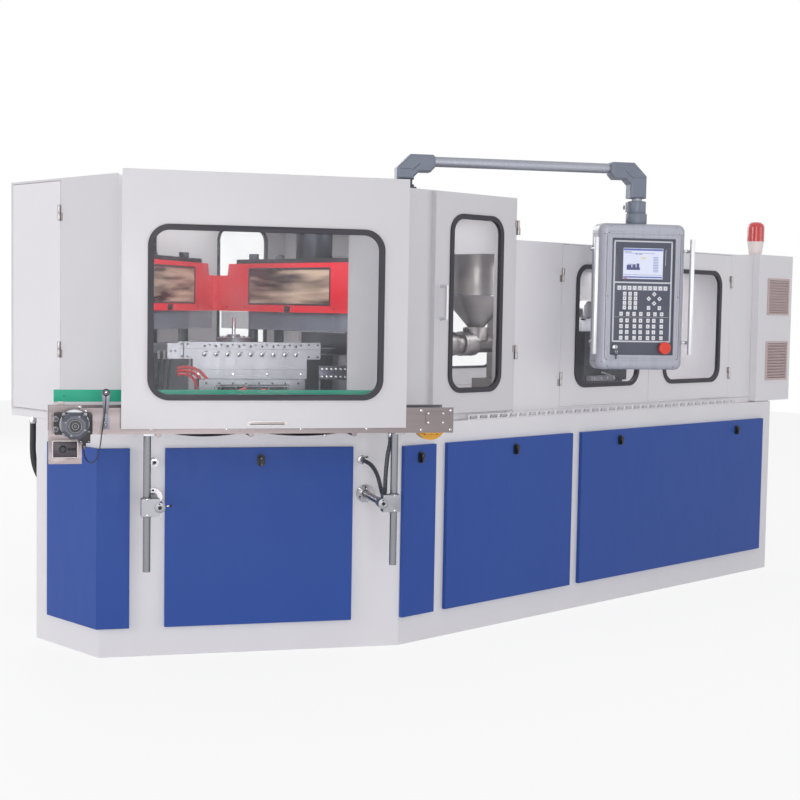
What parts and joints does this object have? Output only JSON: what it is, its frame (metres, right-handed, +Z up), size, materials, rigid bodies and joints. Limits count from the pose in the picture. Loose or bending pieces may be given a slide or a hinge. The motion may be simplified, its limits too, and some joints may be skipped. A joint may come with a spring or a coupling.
{
  "type": "blow moulding machine",
  "caption": "Injection blow moulding machine with guarded rotary stations, outfeed conveyor, swing-arm operator panel and pointed base.",
  "frame": {"origin": "centre of the base's footprint, on the floor", "axes": "+X along the machine from its pointed nose to the electrical cabinet, +Y to the rear, +Z up"},
  "size_m": [4.8113, 2.3527, 2.211],
  "materials": {
    "grey_paint": "satin light grey paint",
    "blue_paint": "satin blue paint",
    "bright_steel": "brushed stainless steel",
    "black_plastic": "matt black",
    "clear_pane": "clear sheet",
    "elbow_paint": "grey cast paint",
    "panel_grey": "satin mid grey paint",
    "keypad_film": "printed film",
    "screen_glass": "lit display",
    "handle_black": "dark grey",
    "signal_red": "gloss red",
    "key_metal": "polished steel",
    "beacon_cream": "cream",
    "beacon_red": "translucent red",
    "belt_rubber": "smooth belt",
    "motor_grey": "grey motor paint",
    "green_paint": "green paint",
    "fitting_brass": "plated fitting",
    "black_rubber": "matt black",
    "machined_steel": "ground steel",
    "red_paint": "satin red paint",
    "heater_steel": "sheet steel",
    "tank_paint": "grey paint"
  },
  "bodies": {
    "machine": {"base_frame": "grey_paint", "base_covers": "blue_paint", "cover_latches": "black_plastic", "machine_deck": "bright_steel", "tall_housing": "grey_paint", "low_housing": "grey_paint", "rear_windows": "grey_paint", "end_cabinet": "grey_paint", "cabinet_grilles": "grey_paint", "hinge_leaves": "bright_steel", "mast_base": "grey_paint", "beacon_base": "beacon_cream", "beacon_dome": "beacon_red", "conveyor_frame": "bright_steel", "conveyor_belt": "belt_rubber", "conveyor_motor": "motor_grey", "control_box": "bright_steel", "conveyor_guards": "green_paint", "sensor_post": "bright_steel", "conveyor_supports": "bright_steel", "hose_fittings": "fitting_brass", "conveyor_conduit": "black_rubber", "hydraulic_hose": "black_rubber", "sensor_cable": "black_rubber", "station_hoods": "red_paint", "station_beds": "machined_steel", "clamp_frames": "machined_steel", "injection_barrel": "heater_steel", "hopper": "heater_steel", "power_pack": "tank_paint"},
    "cabinet_leaf": {"cabinet_door": "grey_paint"},
    "gate": {"gate_cover": "grey_paint", "gate_pane": "clear_pane"},
    "tall_leaf": {"tall_door": "grey_paint", "tall_door_pane": "clear_pane", "tall_door_handle": "black_plastic"},
    "left_leaf": {"left_service_door": "grey_paint", "left_door_pane": "clear_pane"},
    "right_leaf": {"right_service_door": "grey_paint", "right_door_pane": "clear_pane"},
    "nose_leaf": {"nose_door": "grey_paint"},
    "arm": {"arm_elbows": "elbow_paint", "arm_tube": "bright_steel", "swivel_coupling": "bright_steel"},
    "panel": {"swivel_collar": "panel_grey", "panel_casing": "panel_grey", "panel_keypad": "keypad_film", "panel_screen": "screen_glass", "panel_handles": "handle_black"},
    "stop_button": {"emergency_stop": "signal_red"},
    "key": {"key_switch": "key_metal"},
    "drive_drum": {"drive_roller": "key_metal"},
    "tail_drum": {"tail_roller": "key_metal"},
    "lift_shaft": {"turret_shaft": "key_metal"},
    "turret": {"turret_head": "machined_steel", "core_rods": "key_metal"},
    "injection_press": {"injection_platen": "machined_steel"},
    "blow_press": {"blow_platen": "machined_steel"},
    "stripper": {"stripper_plate": "machined_steel"},
    "screw": {"feed_screw": "machined_steel"}
  },
  "joints": [
    {"name": "gate_lift", "type": "hinge", "parent": "machine", "child": "gate", "pos_m": [-1.613, -0.74474, 2.02], "axis": [-0.866, 0.5, 0], "range_deg": [0, 80]},
    {"name": "tall_door_hinge", "type": "hinge", "parent": "machine", "child": "tall_leaf", "pos_m": [-0.183, -0.8866, 1.5], "axis": [0, 0, 1], "range_deg": [0, 110]},
    {"name": "left_door_hinge", "type": "hinge", "parent": "machine", "child": "left_leaf", "pos_m": [0.189, -0.8613, 1.4], "axis": [0, 0, -1], "range_deg": [0, 18]},
    {"name": "right_door_hinge", "type": "hinge", "parent": "machine", "child": "right_leaf", "pos_m": [1.695, -0.8613, 1.4], "axis": [0, 0, 1], "range_deg": [0, 110]},
    {"name": "nose_door_hinge", "type": "hinge", "parent": "machine", "child": "nose_leaf", "pos_m": [-2.08422, 0.057, 1.5], "axis": [0, 0, 1], "range_deg": [0, 110]},
    {"name": "cabinet_door_hinge", "type": "hinge", "parent": "machine", "child": "cabinet_leaf", "pos_m": [2.3086, 0.846, 1.4], "axis": [0, 0, 1], "range_deg": [0, 110]},
    {"name": "arm_swing", "type": "hinge", "parent": "machine", "child": "arm", "pos_m": [-0.595, -0.521, 2.1], "axis": [0, 0, 1], "range_deg": [-80, 0]},
    {"name": "panel_turn", "type": "hinge", "parent": "arm", "child": "panel", "pos_m": [0.38755, -1.14695, 1.98], "axis": [0, 0, 1], "range_deg": [-30, 60]},
    {"name": "stop_press", "type": "slide", "parent": "panel", "child": "stop_button", "axis": [0.5373, 0.8434, 0], "range_m": [0, 0.004], "stiffness_N_per_m": 2500},
    {"name": "key_turn", "type": "hinge", "parent": "panel", "child": "key", "pos_m": [0.24244, -1.14581, 1.32], "axis": [-0.5373, -0.8434, 0], "range_deg": [0, 90]},
    {"name": "drive_roller_turn", "type": "hinge", "parent": "machine", "child": "drive_drum", "pos_m": [-2.33338, -0.46047, 1.026], "axis": [-0.5, -0.866, 0], "continuous": true},
    {"name": "tail_roller_turn", "type": "hinge", "parent": "machine", "child": "tail_drum", "pos_m": [-1.06378, -1.19347, 1.026], "axis": [-0.5, -0.866, 0], "continuous": true},
    {"name": "turret_lift", "type": "slide", "parent": "machine", "child": "lift_shaft", "axis": [0, 0, 1], "range_m": [-0.03, 0]},
    {"name": "turret_turn", "type": "hinge", "parent": "lift_shaft", "child": "turret", "pos_m": [-1.18302, 0, 1.3], "axis": [0, 0, 1], "range_deg": [0, 120]},
    {"name": "injection_clamp", "type": "slide", "parent": "machine", "child": "injection_press", "axis": [0, 0, 1], "range_m": [-0.11, 0]},
    {"name": "blow_clamp", "type": "slide", "parent": "machine", "child": "blow_press", "axis": [0, 0, 1], "range_m": [-0.11, 0]},
    {"name": "stripper_slide", "type": "slide", "parent": "machine", "child": "stripper", "axis": [-0.5, -0.866, 0], "range_m": [0, 0.1]},
    {"name": "screw_turn", "type": "hinge", "parent": "machine", "child": "screw", "pos_m": [0.2, 0, 1.3], "axis": [1, 0, 0], "continuous": true}
  ],
  "couplings": [
    {"joint": "tail_roller_turn", "follows": "drive_roller_turn", "ratio": 1},
    {"joint": "injection_clamp", "follows": "turret_lift", "ratio": 3.6666},
    {"joint": "blow_clamp", "follows": "turret_lift", "ratio": 3.6666}
  ]
}
